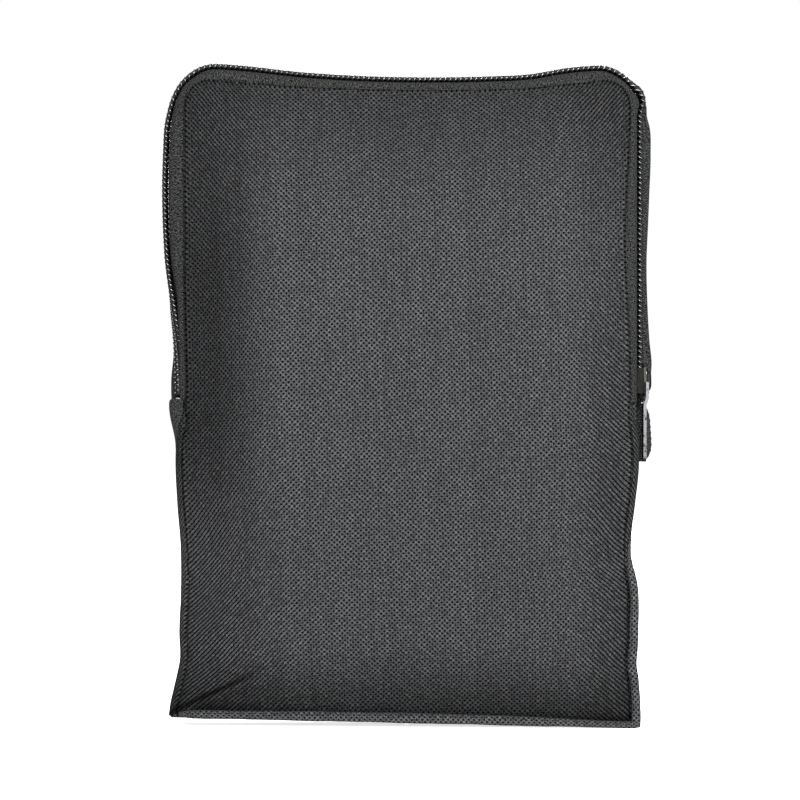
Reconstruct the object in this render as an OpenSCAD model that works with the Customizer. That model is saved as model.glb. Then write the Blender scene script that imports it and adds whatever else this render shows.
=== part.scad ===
// Lipo safe bag: a padded, fire-resistant fabric pouch. Its zip runs up one side, over the
// top and down the other side, so the upper part of the front folds open like a flap.
//
// +Z is up, the front faces -Y, and +X is to the right seen from the front. The origin is
// in the middle of the bottom face. All lengths are in millimetres.
//
// Places around the zip are given by two numbers: how far outside the panel's folded edge
// (an "out" value) and how far from the middle plane of the bag (a Y value).

/* [Bag] */
// Height from the resting face to the outside of the zip coils
bag_h = 207; // [180:1:250]
// Width across the folded edges of the front and back panels
panel_w = 139; // [120:1:180]
// Depth through the puffed middle of the bag
bag_d = 26; // [24:0.5:36]
// Depth along the sides, from the front edge seam to the back edge seam
edge_d = 16; // [15:0.5:18]
// Width of the band in which a panel slopes from its edge to its flat middle
puff_w = 14; // [10:1:24]
// Radius of a panel's top corners
panel_r = 9.4; // [6:0.2:16]

/* [Fabric] */
// Thickness of the woven outer fabric
fabric_t = 0.7; // [0.5:0.1:1]
// Thickness of the foam padding
padding_t = 1.6; // [1:0.1:1.8]
// Thickness of the glass-fibre lining
lining_t = 0.5; // [0.3:0.1:0.6]
// Length of one visible stitch
stitch_len = 2.2; // [1.6:0.1:2.6]

/* [Seams] */
// Height of the pinched lip along the bottom front edge
bottom_lip_h = 3.8; // [3:0.1:5]
// Width of the pinched lip along the lower right front edge
right_lip_w = 3; // [2:0.1:3.4]
// Height of the top end of the right lip
right_lip_top = 58; // [40:1:75]

/* [Zip] */
// Height at which the zip tapes end on both sides
zip_end_z = 101.2; // [85:0.1:110]
// Length of chain taken by one turn of the coil
coil_pitch = 1.6; // [1.4:0.1:2]
// Width of one coil row, across the chain
coil_row_w = 2.4; // [2:0.1:2.4]
// Height of the coil above its tape
coil_t = 2; // [1.8:0.1:2.2]

/* [Slider] */
// Length of the slider along the chain
slider_len = 10.6; // [9.6:0.1:11.4]
// Width of the slider at its open end
slider_w = 8.6; // [8.4:0.1:9]
// Length of the pull tab below the slider
pull_len = 20.6; // [16:0.1:26]
// Width of the pull tab
pull_w = 4.8; // [4.6:0.1:5]

/* [Hidden] */

$fn = 48;
gap = 0.05;        // clear space between layers that lie on each other
far = 400;         // larger than the whole bag, for cutting shapes

// Panels: the front panel spans Y from -edge_y at its rim to -face_y at its middle
half_w = panel_w / 2;
edge_y = edge_d / 2;
face_y = bag_d / 2;
rim_y = 4.5;                     // inner end of the turned-in rim
hull_fn = 32;
min_corner_r = 3;
gusset_t = 0.6;
gusset_lining_t = 0.55;
panel_bottom = gusset_t + gusset_lining_t + 3 * gap;

// Zip stack, outwards from the panel's folded edge
tape_in = 2.2;
tape_t = 0.5;
tape_out = tape_in + tape_t;
coil_in = tape_out + 0.1;
coil_out = coil_in + coil_t;
coil_groove = 0.45;              // depth between two turns of the coil
chain_gap = 0.6;                 // half of the space between the front and back rows
foot_t = 0.4;                    // part of the tape that is turned in to the panel
panel_top = bag_h - coil_out;
corner_x = half_w - panel_r;
corner_z = panel_top - panel_r;
arc_steps = 12;

// Fold line of the front, just above the slider when the zip is closed
stop_len = 1.7;
stop_z = zip_end_z + 0.1;
coil_start_z = stop_z + stop_len + 0.1;
slider_z = coil_start_z + 0.1;
fold_z = slider_z + slider_len + 2.2;
fold_gap = 0.5;
flap_z = fold_z + fold_gap / 2;
lower_z = fold_z - fold_gap / 2;

// Seams and stitches
lip_t = 1.5;
stitch_r = 0.22;
stitch_pitch = stitch_len + 1;
topstitch_in = 1.6;              // distance of the topstitch from the folded edge

// Slider stack, outwards from the panel's folded edge; heights from the slider's lower end
inner_plate = [1, 2.05];
outer_plate = [coil_out + 0.1, coil_out + 0.75];
flange_y = [3.15, 3.6];
cap_base = outer_plate[1] + 0.03;
cap_t = 0.3;
cap_top = cap_base + 2.07;
cap_z = [1.2, 8.2];
cap_half_w = 1.7;
cap_wall = 0.55;
pin_out = cap_base + 0.57;
pin_z = 4;
pin_r = 0.4;
pin_clearance = 0.08;
pawl_t = 0.2;
pawl_out = pin_out + pin_r + 0.07;
pawl_half_w = 0.4;
hook_z = [6.7, 7.2];
pull_t = 0.9;
eye_r = 0.5;
leaf_eye_r = 0.3;                // rolled end of the lock's leaf spring
leaf_eye_gap = 0.34;             // between that end and the plate under it

// ---------- outlines ----------

// Points of an arc in the XZ plane
function arc(centre, r, from, to) =
    [for (i = [0 : arc_steps])
        let (a = from + (to - from) * i / arc_steps)
        centre + r * [cos(a), sin(a)]];

// Points up the right side, over the top and down the left side
function arch(out, end_z) =
    let (r = max(panel_r + out, min_corner_r),
         x = half_w + out,
         z = panel_top + out - r)
    concat([[x, end_z]], arc([x - r, z], r, 0, 90), arc([r - x, z], r, 90, 180), [[-x, end_z]]);

function reversed(list) = [for (i = [len(list) - 1 : -1 : 0]) list[i]];

// The whole outline of a panel, grown by out
module outline(out = 0) polygon(arch(out, panel_bottom - out));

// A band that follows the outline over the top of the bag
module arch_band(in, out, end_z)
    polygon(concat(arch(out, end_z), reversed(arch(in, end_z))));

// The two straight ends of such a band, one on each side
module band_ends(in, out, z0, z1)
    for (side = [-1, 1])
        translate([side * (half_w + (in + out) / 2) - (out - in) / 2, z0])
            square([out - in, z1 - z0]);

// A shape in the XZ plane, thickened from depth y0 to depth y1
module slab(y0, y1)
    translate([0, y1, 0]) rotate([90, 0, 0]) linear_extrude(y1 - y0) children();

module box(low, high) translate(low) cube(high - low);

module at_back() mirror([0, 1, 0]) children();

// ---------- positions along the chain ----------

// Lengths of the straight run, the bend and the flat top, for a band that starts at end_z
function run_len(end_z) = corner_z - end_z;
function bend_len(out) = PI / 2 * (panel_r + out);
function chain_len(out, end_z) = 2 * (run_len(end_z) + bend_len(out) + corner_x);

// Point that is s along a band from its right end
function along(s, out, end_z, mid = coil_in) =
    let (run = run_len(end_z), bend = bend_len(mid), flat = 2 * corner_x, r = panel_r + out)
    s < run ? [half_w + out, end_z + s]
    : s < run + bend ? [corner_x, corner_z] + r * [cos(turn(s, mid, end_z)), sin(turn(s, mid, end_z))]
    : s < run + bend + flat ? [corner_x - (s - run - bend), panel_top + out]
    : s < run + 2 * bend + flat
        ? [-corner_x, corner_z] + r * [cos(turn(s, mid, end_z)), sin(turn(s, mid, end_z))]
    : [-half_w - out, corner_z - (s - run - 2 * bend - flat)];

// Direction that faces outwards at s, as an angle from +X towards +Z
function turn(s, mid, end_z) =
    let (run = run_len(end_z), bend = bend_len(mid), flat = 2 * corner_x)
    s < run ? 0
    : s < run + bend ? 90 * (s - run) / bend
    : s < run + bend + flat ? 90
    : s < run + 2 * bend + flat ? 90 + 90 * (s - run - bend - flat) / bend
    : 180;

// Side view of a coil row: a rib for each turn on the outside, smooth on the tape's side
function coil_profile(end_z, turns, pitch) =
    let (low = coil_out - coil_groove, rib = [[0, low], [0.2, coil_out], [0.6, coil_out], [0.8, low]])
    concat(
        [for (i = [0 : turns - 1]) for (p = rib) along((i + p[0]) * pitch, p[1], end_z)],
        [for (i = [turns : -1 : 0]) along(i * pitch, coil_in, end_z)]);

// ---------- panels ----------

// The space inside a front panel's surface, sunk by depth; the rim is open towards the back
module pillow(depth, open_by = 0)
    hull() {
        slab(-edge_y + depth, -rim_y + open_by) outline(-depth, $fn = hull_fn);
        slab(-face_y + depth, -rim_y + open_by) outline(-puff_w - depth / 2, $fn = hull_fn);
    }

// One layer of a front panel, from depth0 to depth1 below the surface
module layer(depth0, depth1)
    difference() {
        pillow(depth0);
        pillow(depth1, gap);
    }

module above_fold() intersection() {
    children();
    box([-far, -far, flap_z], [far, far, far]);
}

// The lower part of the front, with room for the pinched lip along its bottom edge
module below_fold() difference() {
    children();
    box([-far, -far, lower_z], [far, far, far]);
    box([-far, -far, -far], [far, gap - edge_y, bottom_lip_h + 2 * gap]);
}

module outer_layer() layer(0, fabric_t);
module padding_layer() layer(fabric_t + gap, fabric_t + gap + padding_t);
module lining_layer()
    layer(fabric_t + padding_t + 2 * gap, fabric_t + padding_t + lining_t + 2 * gap);

module front_panel_lower() color("#3b3d40") below_fold() outer_layer();
module front_panel_flap() color("#3e4043") above_fold() outer_layer();
module front_padding_lower() color("#8a8a86") below_fold() padding_layer();
module front_padding_flap() color("#8e8e8a") above_fold() padding_layer();
module front_lining_lower() color("#b9bbb6") below_fold() lining_layer();
module front_lining_flap() color("#bdbfba") above_fold() lining_layer();
module back_panel() color("#36383b") at_back() outer_layer();
module back_padding() color("#868682") at_back() padding_layer();
module back_lining() color("#b5b7b2") at_back() lining_layer();

// ---------- gussets ----------

gusset_in = 1.5;                      // the side gussets stand this far outside the panels
gusset_y = edge_y - 0.1;
gusset_top = zip_end_z - 0.1;

module side_gusset(side)
    translate([side * (half_w + gusset_in + gusset_t / 2), 0, gusset_top / 2])
        cube([gusset_t, 2 * gusset_y, gusset_top], center = true);

module side_gusset_left() color("#333538") side_gusset(-1);
module side_gusset_right() color("#333538") side_gusset(1);

module bottom_gusset()
    color("#2f3134")
        box([-half_w - gusset_in + gap, -gusset_y, 0], [half_w + gusset_in - gap, gusset_y, gusset_t]);

// A shallow tray that lines the three gussets
module gusset_lining() {
    outside = half_w + gusset_in - gap;
    inside = outside - gusset_lining_t;
    bottom = gusset_t + gap;
    color("#b1b3ae") difference() {
        box([-outside, -gusset_y, bottom], [outside, gusset_y, gusset_top]);
        box([-inside, -far, bottom + gusset_lining_t], [inside, far, far]);
    }
}

// Tape that covers the raw edges inside: all round the back, and below the zip at the front
module seam_binding() {
    binding_t = 0.5;
    binding_w = 3;
    y0 = rim_y - gap - binding_t;
    y1 = rim_y - gap;
    color("#55585a") {
        slab(y0, y1) difference() {
            outline();
            outline(-binding_w);
        }
        slab(-y1, -y0) difference() {
            outline();
            outline(-binding_w);
            translate([-far / 2, lower_z]) square(far);
        }
    }
}

// ---------- pinched seams ----------

lip_y = edge_y + gap;                          // back face of both lips
lip_right = half_w + 0.1 + right_lip_w;

module bottom_seam_lip()
    color("#303235")
        box([-half_w, -lip_y - lip_t, 0], [lip_right, -lip_y, bottom_lip_h]);

module right_seam_lip()
    color("#303235")
        box([half_w + 0.1, -lip_y - lip_t, bottom_lip_h + gap], [lip_right, -lip_y, right_lip_top]);

// One stitch, lying along X
module stitch() rotate([0, 90, 0]) cylinder(h = stitch_len, r = stitch_r, center = true, $fn = 16);

module seam_stitch_bottom() {
    count = floor((lip_right + half_w - 6) / stitch_pitch);
    color("#1c1d1f")
        for (i = [0 : count])
            translate([-half_w + 3 + i * stitch_pitch, -lip_y - lip_t - stitch_r - gap, bottom_lip_h - 0.9])
                stitch();
}

module seam_stitch_right() {
    first = bottom_lip_h + 2.5;
    count = floor((right_lip_top - first - 2) / stitch_pitch);
    color("#1c1d1f")
        for (i = [0 : count])
            translate([half_w + 0.8, -lip_y - lip_t - stitch_r - gap, first + i * stitch_pitch])
                rotate([0, 90, 0]) stitch();
}

// Stitches along the folded edge of a front panel, between two lengths along the band
module topstitch(end_z, from, to) {
    slope = (face_y - edge_y) / puff_w;
    y = -edge_y - slope * topstitch_in - stitch_r - 0.12;
    for (s = [from : stitch_pitch : to]) {
        p = along(s, -topstitch_in, end_z, -topstitch_in);
        translate([p[0], y, p[1]])
            rotate([0, -90 - turn(s, -topstitch_in, end_z), 0]) stitch();
    }
}

module topstitch_front_ends()
    color("#1c1d1f")
        for (side = [0, 1])
            mirror([side, 0, 0]) topstitch(zip_end_z, stitch_pitch, lower_z - zip_end_z - stitch_pitch);

module topstitch_front_flap()
    color("#1c1d1f")
        topstitch(flap_z, stitch_pitch, chain_len(-topstitch_in, flap_z) - stitch_pitch);

module topstitch_back()
    color("#1c1d1f")
        at_back() topstitch(zip_end_z, stitch_pitch, chain_len(-topstitch_in, zip_end_z) - stitch_pitch);

// ---------- zip ----------

// A tape in section is an L: a foot that is sewn to the panel and a strip under the coil
module tape_section(foot_only)
    slab(-edge_y, foot_only ? -edge_y + foot_t : -chain_gap) children();

module zip_tape_front_flap() color("#46483f") {
    tape_section(true) arch_band(gap, tape_out, flap_z);
    tape_section(false) arch_band(tape_in, tape_out, flap_z);
}

module zip_tape_front_ends() color("#46483f") {
    tape_section(true) band_ends(gap, tape_out, zip_end_z, lower_z);
    tape_section(false) band_ends(tape_in, tape_out, zip_end_z, lower_z);
}

module zip_tape_back() color("#42443b") at_back() {
    tape_section(true) arch_band(gap, tape_out, zip_end_z);
    tape_section(false) arch_band(tape_in, tape_out, zip_end_z);
}

module coil_row(end_z) {
    length = chain_len(coil_in, end_z);
    turns = round(length / coil_pitch);
    slab(-chain_gap - coil_row_w, -chain_gap) polygon(coil_profile(end_z, turns, length / turns));
}

module zip_coil_front_flap() color("#111214") coil_row(flap_z);

module zip_coil_front_ends() color("#111214") {
    length = lower_z - coil_start_z;
    turns = round(length / coil_pitch);
    for (side = [0, 1])
        mirror([side, 0, 0])
            slab(-chain_gap - coil_row_w, -chain_gap)
                polygon(coil_profile(coil_start_z, turns, length / turns));
}

module zip_coil_back() color("#0f1012") at_back() coil_row(coil_start_z);

stop_in = tape_out + gap;
stop_out = tape_out + 1.4;
stop_half_w = chain_gap + coil_row_w;

// One stop that joins both rows at the left end
module zip_bottom_stop()
    color("#26282b")
        box([-half_w - stop_out, -stop_half_w, stop_z], [-half_w - stop_in, stop_half_w, stop_z + stop_len]);

// A stop on each row, just below the slider
module zip_top_stops()
    color("#26282b")
        for (back = [0, 1])
            mirror([0, back, 0])
                box([half_w + stop_in, -stop_half_w, stop_z],
                    [half_w + stop_out, -chain_gap, stop_z + stop_len]);

tab_in = gusset_in + gusset_t + gap;
tab_out = 5.2;

// Fabric folded over the zip's left end
module zip_end_tab_left()
    color("#34362f")
        box([-half_w - tab_out, -6.8, zip_end_z - 6.6], [-half_w - tab_in, 6.8, zip_end_z - 0.05]);

// Fabric folded over the zip's right end, behind the pull tab
module zip_end_tab_right()
    color("#34362f")
        box([half_w + tab_in, pull_w / 2 + 0.5, zip_end_z - 17.2],
            [half_w + tab_out, gusset_y, zip_end_z - 0.3]);

// ---------- slider ----------

// The slider's own place: X from the panel's folded edge, Z from the slider's lower end
module at_slider() translate([half_w, 0, slider_z]) children();

// A shape in the YZ plane, thickened along X from out0 to out1
module plate(out0, out1)
    translate([out0, 0, 0]) rotate([90, 0, 90]) linear_extrude(out1 - out0) children();

// Face of the slider: wide at the open end, narrower where the closed chain leaves
module slider_face() {
    wide = slider_w / 2;
    narrow = wide - 0.7;
    polygon([[-wide + 0.9, 0], [wide - 0.9, 0], [wide, 1], [wide, 4.4], [narrow, slider_len - 1.6],
        [narrow - 1.4, slider_len], [1.4 - narrow, slider_len], [-narrow, slider_len - 1.6],
        [-wide, 4.4], [-wide, 1]]);
}

module slider_body() color("#2a2c2e") at_slider() {
    plate(inner_plate[0], inner_plate[1]) slider_face();
    difference() {
        plate(outer_plate[0], outer_plate[1]) slider_face();
        box([0, -pawl_half_w - 0.1, hook_z[0] - 0.2], [far, pawl_half_w + 0.1, hook_z[1] + 0.2]);
    }
    // Side flanges that hold the coil rows together
    for (back = [0, 1])
        mirror([0, back, 0])
            box([tape_out + 0.15, flange_y[0], 0.9], [outer_plate[0] + 0.1, flange_y[1], slider_len - 1.7]);
    // Post between the two rows, which joins the plates
    translate([inner_plate[1] - 0.1, 0, 1.3])
        rotate([0, 90, 0]) cylinder(h = outer_plate[0] - inner_plate[1] + 0.2, r = 0.5);
}

// Hollow cap over the lock, with a bore across it for the pull tab's bar
module slider_cap() color("#232527") at_slider() difference() {
    length = cap_z[1] - cap_z[0];
    bevel = 0.8;
    translate([0, cap_half_w, 0]) rotate([90, 0, 0]) linear_extrude(2 * cap_half_w)
        polygon([[cap_base, cap_z[0]], [cap_top - bevel, cap_z[0]], [cap_top, cap_z[0] + bevel],
            [cap_top, cap_z[1] - 2 * bevel], [cap_top - bevel, cap_z[1]], [cap_base, cap_z[1]]]);
    box([cap_base - 1, cap_wall - cap_half_w, cap_z[0] + 0.5],
        [cap_top - cap_t, cap_half_w - cap_wall, cap_z[1] - 0.5]);
    translate([pin_out, 0, pin_z])
        rotate([90, 0, 0]) cylinder(h = 3 * cap_half_w, r = pin_r + pin_clearance, center = true);
}

// Leaf spring that turns on its rolled end, passes over the bar and hooks down between the rows
module lock_pawl() color("#9a9c9e") at_slider() {
    eye_out = outer_plate[1] + leaf_eye_gap + leaf_eye_r;
    eye_z = 2.2;
    leaf_z = eye_z - pawl_t / 2;
    box([pawl_out, -pawl_half_w, leaf_z], [pawl_out + pawl_t, pawl_half_w, hook_z[1]]);
    box([coil_out - 0.1, -pawl_half_w, hook_z[0]], [pawl_out + pawl_t, pawl_half_w, hook_z[1]]);
    box([eye_out, -pawl_half_w, leaf_z], [pawl_out + pawl_t, pawl_half_w, leaf_z + pawl_t]);
    translate([eye_out, 0, eye_z])
        rotate([90, 0, 0]) cylinder(h = 2 * pawl_half_w, r = leaf_eye_r, center = true);
}

// Side view of a bent strip that follows a line of points
function strip(line, thickness) =
    let (last = len(line) - 1,
         normal = [for (i = [0 : last])
             let (d = line[min(i + 1, last)] - line[max(i - 1, 0)])
             [-d[1], d[0]] / norm(d)])
    concat([for (i = [0 : last]) line[i] + normal[i] * thickness / 2],
        [for (i = [last : -1 : 0]) line[i] - normal[i] * thickness / 2]);

// Tab that hangs from its own crossbar, bent a little towards the side of the bag
module pull_tab() {
    half = pull_w / 2;
    arm_w = 0.55;
    blade_out = coil_out + 0.15 + pull_t / 2;     // the blade clears the coils as the slider moves
    bend_z = -0.6;
    window_z = -2.3;
    side_view = [[pin_out, pin_z], [pin_out, bend_z], [blade_out, bend_z - 2], [blade_out, -pull_len]];
    color("#4c4f52") at_slider() {
        difference() {
            translate([0, half, 0]) rotate([90, 0, 0]) linear_extrude(pull_w) polygon(strip(side_view, pull_t));
            box([-far, arm_w - half, window_z], [far, half - arm_w, far]);
            // Lower corners cut away
            for (back = [0, 1])
                mirror([0, back, 0]) translate([blade_out, half, -pull_len])
                    rotate([45, 0, 0]) cube([4, 1.6, 1.6], center = true);
        }
        for (back = [0, 1])
            mirror([0, back, 0]) translate([pin_out, half, pin_z])
                rotate([90, 0, 0]) cylinder(h = arm_w, r = eye_r);
        translate([pin_out, 0, pin_z]) rotate([90, 0, 0]) cylinder(h = pull_w - 0.2, r = pin_r, center = true);
    }
}

// ---------- what is drawn ----------

front_panel_lower();
front_panel_flap();
front_padding_lower();
front_padding_flap();
front_lining_lower();
front_lining_flap();
back_panel();
back_padding();
back_lining();
side_gusset_left();
side_gusset_right();
bottom_gusset();
gusset_lining();
seam_binding();
bottom_seam_lip();
right_seam_lip();
seam_stitch_bottom();
seam_stitch_right();
zip_tape_front_ends();
zip_tape_front_flap();
zip_tape_back();
zip_coil_front_ends();
zip_coil_front_flap();
zip_coil_back();
topstitch_front_ends();
topstitch_front_flap();
topstitch_back();
zip_bottom_stop();
zip_top_stops();
zip_end_tab_left();
zip_end_tab_right();
slider_body();
slider_cap();
lock_pawl();
pull_tab();
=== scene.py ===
"""Looks of the lipo safe bag: cloth, zip and slider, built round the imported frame.

Shapes are worked out in millimetres, in the frame's own axes: +Z up, the front faces -Y and
+X is to the right seen from the front. "out" is a distance outwards from the folded edge of
the front or back panel, measured in the plane of the panel.
"""

import math

import bpy
import numpy as np
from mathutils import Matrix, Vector
from mathutils.bvhtree import BVHTree


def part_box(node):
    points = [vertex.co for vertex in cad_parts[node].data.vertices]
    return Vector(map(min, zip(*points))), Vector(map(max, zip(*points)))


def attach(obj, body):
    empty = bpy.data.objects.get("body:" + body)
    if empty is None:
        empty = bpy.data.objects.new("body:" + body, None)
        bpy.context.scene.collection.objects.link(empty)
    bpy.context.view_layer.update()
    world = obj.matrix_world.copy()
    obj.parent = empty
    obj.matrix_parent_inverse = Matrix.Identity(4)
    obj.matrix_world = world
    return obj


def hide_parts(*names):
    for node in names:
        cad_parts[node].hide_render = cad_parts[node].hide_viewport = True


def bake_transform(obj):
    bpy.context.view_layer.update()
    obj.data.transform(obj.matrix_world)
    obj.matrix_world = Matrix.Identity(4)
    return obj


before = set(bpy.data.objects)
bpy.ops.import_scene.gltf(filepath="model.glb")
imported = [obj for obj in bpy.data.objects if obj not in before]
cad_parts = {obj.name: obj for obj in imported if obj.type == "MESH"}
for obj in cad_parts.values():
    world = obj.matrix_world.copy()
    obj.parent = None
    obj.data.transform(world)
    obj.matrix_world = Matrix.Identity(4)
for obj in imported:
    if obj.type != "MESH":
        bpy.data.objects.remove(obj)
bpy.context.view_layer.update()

MM = 0.001

# ---- measures taken from the frame ----


def low(node):
    """Lowest corner of a CAD node, in millimetres."""
    return np.array(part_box(node)[0]) / MM


def high(node):
    """Highest corner of a CAD node, in millimetres."""
    return np.array(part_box(node)[1]) / MM


PANEL_HALF_W, _, PANEL_TOP = high("back_panel")
EDGE_Y = high("zip_tape_back")[1]
TAPE_OUT = high("zip_tape_back")[0] - PANEL_HALF_W
COIL_OUT = high("zip_coil_back")[0] - PANEL_HALF_W
ZIP_END_Z = low("zip_tape_back")[2]
COIL_START_Z = low("zip_coil_back")[2]
FOLD_Z = (high("front_panel_lower")[2] + low("front_panel_flap")[2]) / 2
LIP_TOP_Z = high("bottom_seam_lip")[2]
LIP_RIGHT_X, _, LIP_RIGHT_TOP_Z = high("right_seam_lip")

# Radius of the panels' top corners, at their folded edge
CORNER_R = 9.4
CORNER_X = PANEL_HALF_W - CORNER_R
CORNER_Z = PANEL_TOP - CORNER_R

# ---- how the real bag departs from the straight pattern ----

# Height, and how far the side stands outside the pattern there
LEFT_SIDE = [(0, 2.3), (4, 1.9), (8, 1.0), (12, 0.1), (18, -1.1), (27, -0.9), (41, -1.4), (56, -1.3),
    (70, -0.3), (84, 0.4), (100, 0), (110, 0.2), (118, 0.3), (131, 0.8), (147, 1.9), (165, 2.6), (180, 2.3),
    (189, 1.7), (194, 0.6), (200, 0)]
# The slider needs a straight way from 98 up to 191
RIGHT_SIDE = [(0, 0.2), (4, 0.3), (9, 0.2), (15, -0.3), (20, -1.0), (25, -0.6), (32, -0.4), (42, -0.3),
    (52, -1.7), (58, -1.8), (70, -0.5), (80, 0.6), (98, 0), (101, 0), (189, 0), (191, 0), (196.5, 1.4),
    (202, 1.5)]
# Distance from the middle, and how far the top edge stands above the pattern there
TOP_EDGE = [(-70, 0.3), (-60, 0.7), (-50, 0), (-36, -1.6), (-18, -2.9), (6, -3.5), (26, -3.2), (39, -2.5),
    (51, -0.5), (60, 0.2), (70, 0)]
# The bottom edge rises from the right corner to the left corner by this much
BOTTOM_RISE = 3.2
# How far the panels' top edge lies below the pattern, so that a band of tape shows over it
TOP_TUCK = 1.8
# Distance from the middle, and height of the pinched lip along the bottom
LIP_HEIGHT = [(-72, 2.4), (-50, 2.7), (-20, 3.0), (30, 3.0), (50, 2.5), (62, 2.1), (73, 2.0)]
LIP_TALLEST = 3.0
# Near its left end the zip turns by this angle to face the front, about a place given as (out, y)
LEAN = math.radians(24)
LEAN_PIVOT = (2.6, 4.5)
# Height, and how far out the back tape bulges beside the coils
LEFT_BULGE = [(96, 4.4), (101, 4.9), (108, 4.9), (117, 4.0), (131, 4.6), (146, 4.0), (160, 3.0)]
RIGHT_BULGE = [(96, 5.6), (104, 7.0), (114, 8.2), (120, 7.6), (132, 6.9), (146, 6.6), (158, 7.1),
    (168, 7.5), (180, 7.9), (189, 7.5), (197, 4.6), (202, 3.0)]


def smooth(low_end, high_end, value):
    """0 below low_end, 1 above high_end, and an S curve between them."""
    t = np.clip((value - low_end) / (high_end - low_end), 0, 1)
    return t * t * (3 - 2 * t)


def hump(middle, width, value):
    """1 at the middle, fading away to both sides of it."""
    return np.exp(-((value - middle) / width) ** 2)


def through(knots, position):
    """Smooth curve through (position, value) pairs, level beyond both ends."""
    places, values = np.array(knots, float).T
    slopes = np.gradient(values, places)
    slopes[0] = slopes[-1] = 0
    position = np.clip(position, places[0], places[-1])
    k = np.clip(np.searchsorted(places, position) - 1, 0, len(places) - 2)
    span = places[k + 1] - places[k]
    t = (position - places[k]) / span
    return (values[k] * (1 + 2 * t) * (1 - t) ** 2 + slopes[k] * span * t * (1 - t) ** 2
            + values[k + 1] * t * t * (3 - 2 * t) + slopes[k + 1] * span * t * t * (t - 1))


def together(*coordinates):
    """Coordinates spread over one grid, as an array of points."""
    return np.stack(np.broadcast_arrays(*coordinates), axis=-1)


def distance_along(points):
    """How far along a line each of its points lies."""
    return np.append(0, np.cumsum(np.linalg.norm(np.diff(points, axis=0), axis=1)))


def unit(vectors):
    """Vectors made 1 long."""
    return vectors / np.linalg.norm(vectors, axis=-1, keepdims=True)


def steps(start, end, spacing):
    """Evenly spaced numbers from start to end, about spacing apart."""
    return np.linspace(start, end, max(2, int(round(abs(end - start) / spacing)) + 1))


def settle(points):
    """Moves points of the straight pattern to where the cloth of the real bag lies."""
    x, y, z = np.moveaxis(np.asarray(points, float), -1, 0)
    side = np.where(x < 0, -through(LEFT_SIDE, z), through(RIGHT_SIDE, z))
    # Beside the zip only the tape gives way; below it the panel moves with the side
    beside_zip = smooth(90, 108, z)
    share = (smooth(30, 68, np.abs(x)) * (1 - beside_zip)
             + smooth(PANEL_HALF_W + 0.5, PANEL_HALF_W + 3, np.abs(x)) * beside_zip)
    rise = BOTTOM_RISE * np.clip(0.5 - x / (2 * PANEL_HALF_W), 0, 1) * smooth(70, 0, z)
    over_panel = 0.6 + 0.4 * smooth(PANEL_TOP - 1, PANEL_TOP + 3, z)
    sag = through(TOP_EDGE, x) * smooth(150, 202, z) * over_panel
    tuck = (TOP_TUCK * smooth(165, 199, z) * smooth(PANEL_TOP + 2.6, PANEL_TOP + 0.4, z)
            * smooth(PANEL_HALF_W + 0.5, PANEL_HALF_W - 14, np.abs(x)))
    return together(x + side * share, y, z + rise + sag - tuck)


# ---- mesh making ----


def new_object(name, points, faces, uv=None):
    """An object from points in millimetres, with cloth coordinates in millimetres as its UV map."""
    mesh = bpy.data.meshes.new(name)
    mesh.from_pydata((np.reshape(points, (-1, 3)) * MM).tolist(), [], faces)
    if uv is not None:
        layer = mesh.uv_layers.new(name="cloth")
        corners = np.zeros(len(mesh.loops), int)
        mesh.loops.foreach_get("vertex_index", corners)
        layer.data.foreach_set("uv", np.reshape(uv, (-1, 2)).astype(np.float32)[corners].ravel())
    mesh.polygons.foreach_set("use_smooth", [True] * len(mesh.polygons))
    mesh.update()
    made = bpy.data.objects.new(name, mesh)
    bpy.context.scene.collection.objects.link(made)
    return made


def quads(rows, columns, wrap=False):
    """Faces of a grid of vertices, whose last column may join its first."""
    faces = []
    for r in range(rows - 1):
        for c in range(columns if wrap else columns - 1):
            beside = (c + 1) % columns
            faces.append((r * columns + c, r * columns + beside,
                          (r + 1) * columns + beside, (r + 1) * columns + c))
    return faces


def sheet(name, points, uv):
    """An object from a grid of points and the cloth coordinates of each."""
    return new_object(name, points, quads(*points.shape[:2]), uv)


def tube(name, rings, uv=None):
    """A tube with closed ends, through rings of points."""
    rows, columns = rings.shape[:2]
    faces = quads(rows, columns, wrap=True)
    faces.append(tuple(range(columns)))
    faces.append(tuple(reversed(range((rows - 1) * columns, rows * columns))))
    return new_object(name, rings, faces, uv)


def joined(name, parts):
    """One object from several, with their UV maps kept."""
    bpy.ops.object.select_all(action="DESELECT")
    for part in parts:
        part.select_set(True)
    bpy.context.view_layer.objects.active = parts[0]
    bpy.ops.object.join()
    parts[0].name = parts[0].data.name = name
    return parts[0]


def places_of(mesh):
    """Places of a mesh's vertices, in millimetres."""
    flat = np.zeros(len(mesh.vertices) * 3)
    mesh.vertices.foreach_get("co", flat)
    return flat.reshape(-1, 3) / MM


def move_vertices(mesh, places):
    """Moves a mesh's vertices to places in millimetres."""
    mesh.vertices.foreach_set("co", (places * MM).ravel())
    mesh.update()


def adjust(thing, **settings):
    """Changes some settings of one of Blender's things, and gives it back."""
    for setting, value in settings.items():
        setattr(thing, setting, value)
    return thing


def run_modifier(piece, kind, **settings):
    """Adds a modifier to a piece and leaves its result in the mesh."""
    adjust(piece.modifiers.new(kind.title(), kind), **settings)
    graph = bpy.context.evaluated_depsgraph_get()
    finished = bpy.data.meshes.new_from_object(piece.evaluated_get(graph), depsgraph=graph)
    finished.name = piece.name
    piece.modifiers.clear()
    piece.data = finished


def thicken(piece, thickness, side=-1):
    """Gives a sheet its thickness: -1 inwards from its face, 1 outwards, 0 half each way."""
    run_modifier(piece, "SOLIDIFY", thickness=thickness * MM, offset=side, use_even_offset=False)


def subdivide(piece):
    """Rounds a piece and halves the size of its cells."""
    run_modifier(piece, "SUBSURF", levels=1, render_levels=1)


# ---- the line of the zip ----


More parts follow.
